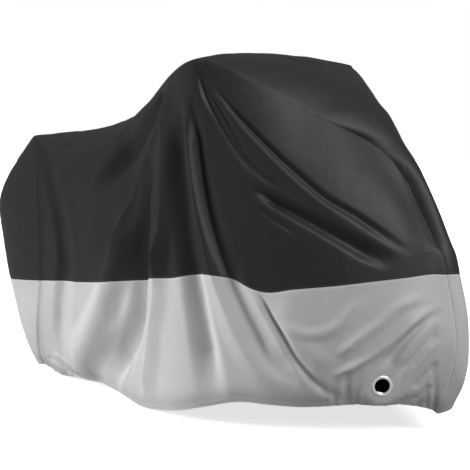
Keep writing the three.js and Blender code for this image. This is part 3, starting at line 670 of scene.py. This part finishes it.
# Coated polyester taffeta: a plain weave too fine to see, calendered to a soft satin gloss,
# so that each fold carries one broad highlight and the seams show as rows of thread.
def clothMaterial(name, look):
    material, tree = newMaterial(name)
    out = addNode(tree, "ShaderNodeOutputMaterial")
    shader = addNode(tree, "ShaderNodeBsdfPrincipled", {
        "Roughness": look["roughness"], "Specular IOR Level": look["specular"], "IOR": 1.5,
    })
    tree.links.new(shader.outputs[0], out.inputs[0])

    # The panels carry these distances over the cloth, in metres.
    values = {}
    for key in ("across", "along", "fromSeam", "fromHem"):
        values[key] = addNode(tree, "ShaderNodeAttribute", {"attribute_name": key}).outputs["Fac"]
    turn = 2 * math.pi / weave["threadPitch"]
    workings = [
        # value, operation, what it works on
        ("warpTurn", "MULTIPLY", "across", turn),
        ("warp", "SINE", "warpTurn"),
        ("weftTurn", "MULTIPLY", "along", turn),
        ("weft", "SINE", "weftTurn"),
        ("threads", "MULTIPLY", "warp", "weft"),
        ("besideSeam", "SUBTRACT", "fromSeam", weave["seamRow"]),
        ("offSeamRow", "ABSOLUTE", "besideSeam"),
        ("seamRow", "LESS_THAN", "offSeamRow", weave["stitchWidth"] / 2),
        ("aboveHem", "SUBTRACT", "fromHem", weave["hemRow"]),
        ("offHemRow", "ABSOLUTE", "aboveHem"),
        ("hemRow", "LESS_THAN", "offHemRow", weave["stitchWidth"] / 2),
        ("run", "ADD", "across", "along"),
        ("count", "DIVIDE", "run", weave["stitchLength"]),
        ("step", "FRACT", "count"),
        ("dash", "GREATER_THAN", "step", weave["stitchGap"]),
        ("sewnRow", "MAXIMUM", "seamRow", "hemRow"),
        ("stitch", "MULTIPLY", "sewnRow", "dash"),
    ]
    for key, operation, *inputs in workings:
        numbers = {i: value for i, value in enumerate(inputs) if not isinstance(value, str)}
        links = {i: values[value] for i, value in enumerate(inputs) if isinstance(value, str)}
        values[key] = addNode(tree, "ShaderNodeMath", {"operation": operation, **numbers}, links).outputs[0]

    place = addNode(tree, "ShaderNodeTexCoord").outputs["Object"]
    cloud = addNode(tree, "ShaderNodeTexNoise", {
        "Scale": weave["cloudScale"], "Detail": 4.0, "Roughness": 0.55,
    }, {"Vector": place})
    crumple = addNode(tree, "ShaderNodeTexNoise", {
        "Scale": weave["crumpleScale"], "Detail": 3.0, "Roughness": 0.6,
    }, {"Vector": place})

    tinted = addNode(tree, "ShaderNodeMix", {
        "data_type": "RGBA", 6: linearColour(look["colour"]), 7: linearColour(look["shade"]),
    }, {0: cloud.outputs["Fac"]})
    sewn = addNode(tree, "ShaderNodeMix", {"data_type": "RGBA", 7: linearColour(look["thread"])},
                   {0: values["stitch"], 6: tinted.outputs[2]})
    tree.links.new(sewn.outputs[2], shader.inputs["Base Color"])

    weaveBump = addNode(tree, "ShaderNodeBump", {"Strength": 0.25, "Distance": weave["threadDepth"]},
                        {"Height": values["threads"]})
    crumpleBump = addNode(tree, "ShaderNodeBump", {"Strength": 0.35, "Distance": weave["crumpleDepth"]},
                          {"Height": crumple.outputs["Fac"], "Normal": weaveBump.outputs[0]})
    stitchBump = addNode(tree, "ShaderNodeBump", {"Strength": 0.8, "Distance": weave["stitchDepth"]},
                         {"Height": values["stitch"], "Normal": crumpleBump.outputs[0]})
    tree.links.new(stitchBump.outputs[0], shader.inputs["Normal"])
    return material


# The cloth's inner faces and walls: dull, and coloured near black as painted shade for the dim inside of the
# cover, so the inside reads black through the eyelet.
def insideShadeMaterial(name):
    material, tree = newMaterial(name)
    out = addNode(tree, "ShaderNodeOutputMaterial")
    shader = addNode(tree, "ShaderNodeBsdfPrincipled", {
        # near-black base colour: painted shade standing for the dark inside of the cover
        "Base Color": linearColour("#0c0c0d"), "Roughness": 0.85, "Specular IOR Level": 0.2,
    })
    tree.links.new(shader.outputs[0], out.inputs[0])
    return material


plating = {
    "colour": "#eeefec", "metallic": 0.6, "roughness": 0.28,
    "grainScale": 700.0,  # cells a metre: grain of 1.4 mm, drawn coarser than real so that it shows
    "grainDepth": 0.0002,  # metres
}


# Nickel-plated pressed steel: a bright rolled ring with a faint grain left by the polishing.
def ringMaterial(name, look):
    material, tree = newMaterial(name)
    out = addNode(tree, "ShaderNodeOutputMaterial")
    shader = addNode(tree, "ShaderNodeBsdfPrincipled", {
        "Base Color": linearColour(look["colour"]), "Metallic": look["metallic"],
        "Roughness": look["roughness"],
    })
    tree.links.new(shader.outputs[0], out.inputs[0])
    place = addNode(tree, "ShaderNodeTexCoord").outputs["Object"]
    grain = addNode(tree, "ShaderNodeTexNoise", {"Scale": look["grainScale"], "Detail": 2.0},
                    {"Vector": place})
    bump = addNode(tree, "ShaderNodeBump", {"Strength": 0.12, "Distance": look["grainDepth"]},
                   {"Height": grain.outputs["Fac"]})
    tree.links.new(bump.outputs[0], shader.inputs["Normal"])
    return material


blackTaffeta = clothMaterial("black_coated_taffeta", blackCloth)
silverTaffeta = clothMaterial("silver_coated_taffeta", silverCloth)
insideShade = insideShadeMaterial("inside_painted_shade")
platedRing = ringMaterial("nickel_plated_ring", plating)

for name, (piece, area) in panels.items():
    black = name.endswith("upper")
    piece.data.materials.append(blackTaffeta if black else silverTaffeta)
    # inner faces and walls take the painted-shade material
    piece.data.materials.append(insideShade)
    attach(piece, "root")
    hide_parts(name)
for name, ring in rings.items():
    ring.data.materials.append(platedRing)
    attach(ring, "root")
    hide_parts(name)
print("materials given")


studio = {
    "fill": 0.15,  # light from all round that reaches the cloth
    "floor": "#f4f4f4",  # as the camera sees it
    "floorBounce": "#888888",  # as the cloth sees it
    "floorGlow": 0.75,  # added for the camera, so that the floor runs into the white behind it
    "floorRadius": 60.0,  # metres
    "floorSides": 64,
    "lampDistance": 6.0,
}

lightSet = [
    # name, azimuth, elevation, softness in degrees, strength, whether it shows in reflections
    ("key", -60, 14, 30, 6.2, False),
    ("side", 86, 40, 40, 3.1, True),
    ("top", 0, 82, 70, 0.6, True),
]


# Broad lamps far away, so that the floor is lit the same everywhere.
def makeLights(settings):
    for name, azimuth, elevation, softness, strength, glossy in settings:
        turn, tilt = math.radians(azimuth), math.radians(elevation)
        way = Vector((math.sin(turn) * math.cos(tilt), -math.cos(turn) * math.cos(tilt), math.sin(tilt)))
        data = bpy.data.lights.new(name, "SUN")
        data.angle, data.energy = math.radians(softness), strength
        lamp = bpy.data.objects.new(name, data)
        lamp.location = way * studio["lampDistance"]
        lamp.rotation_euler = way.to_track_quat("Z", "Y").to_euler()
        lamp.visible_glossy = glossy
        bpy.context.collection.objects.link(lamp)


def makeFloor():
    mesh = bpy.data.meshes.new("floor")
    radius, count = studio["floorRadius"], studio["floorSides"]
    turns = [2 * math.pi * i / count for i in range(count)]
    rim = [(radius * math.cos(turn), radius * math.sin(turn), 0) for turn in turns]
    mesh.from_pydata(rim, [], [list(range(count))])
    floor = bpy.data.objects.new("floor", mesh)
    bpy.context.collection.objects.link(floor)
    material, tree = newMaterial("pale_studio_floor")
    out = addNode(tree, "ShaderNodeOutputMaterial")
    seen = addNode(tree, "ShaderNodeLightPath").outputs["Is Camera Ray"]
    glow = addNode(tree, "ShaderNodeMapRange", {"To Min": 0.0, "To Max": studio["floorGlow"]},
                   {"Value": seen})
    shader = addNode(tree, "ShaderNodeBsdfPrincipled", {
        "Roughness": 0.9, "Specular IOR Level": 0.1, "Emission Color": (1.0, 1.0, 1.0, 1.0),
    }, {"Emission Strength": glow.outputs[0]})
    paper = addNode(tree, "ShaderNodeMix", {
        "data_type": "RGBA", 6: linearColour(studio["floorBounce"]), 7: linearColour(studio["floor"]),
    }, {0: seen})
    tree.links.new(paper.outputs[2], shader.inputs["Base Color"])
    tree.links.new(shader.outputs[0], out.inputs[0])
    mesh.materials.append(material)


# White studio all round: the camera sees it white, and it fills the shadows softly.
def makeWorld():
    world = bpy.data.worlds.new("studio")
    world.use_nodes = True
    tree = world.node_tree
    tree.nodes.clear()
    out = addNode(tree, "ShaderNodeOutputWorld")
    seen = addNode(tree, "ShaderNodeLightPath").outputs["Is Camera Ray"]
    level = addNode(tree, "ShaderNodeMapRange", {"To Min": studio["fill"], "To Max": 1.0}, {"Value": seen})
    sky = addNode(tree, "ShaderNodeBackground", {"Color": (1.0, 1.0, 1.0, 1.0)},
                  {"Strength": level.outputs[0]})
    tree.links.new(sky.outputs[0], out.inputs[0])
    bpy.context.scene.world = world


makeLights(lightSet)
makeFloor()
makeWorld()
bpy.context.scene.view_settings.view_transform = "Standard"
print("studio lit")
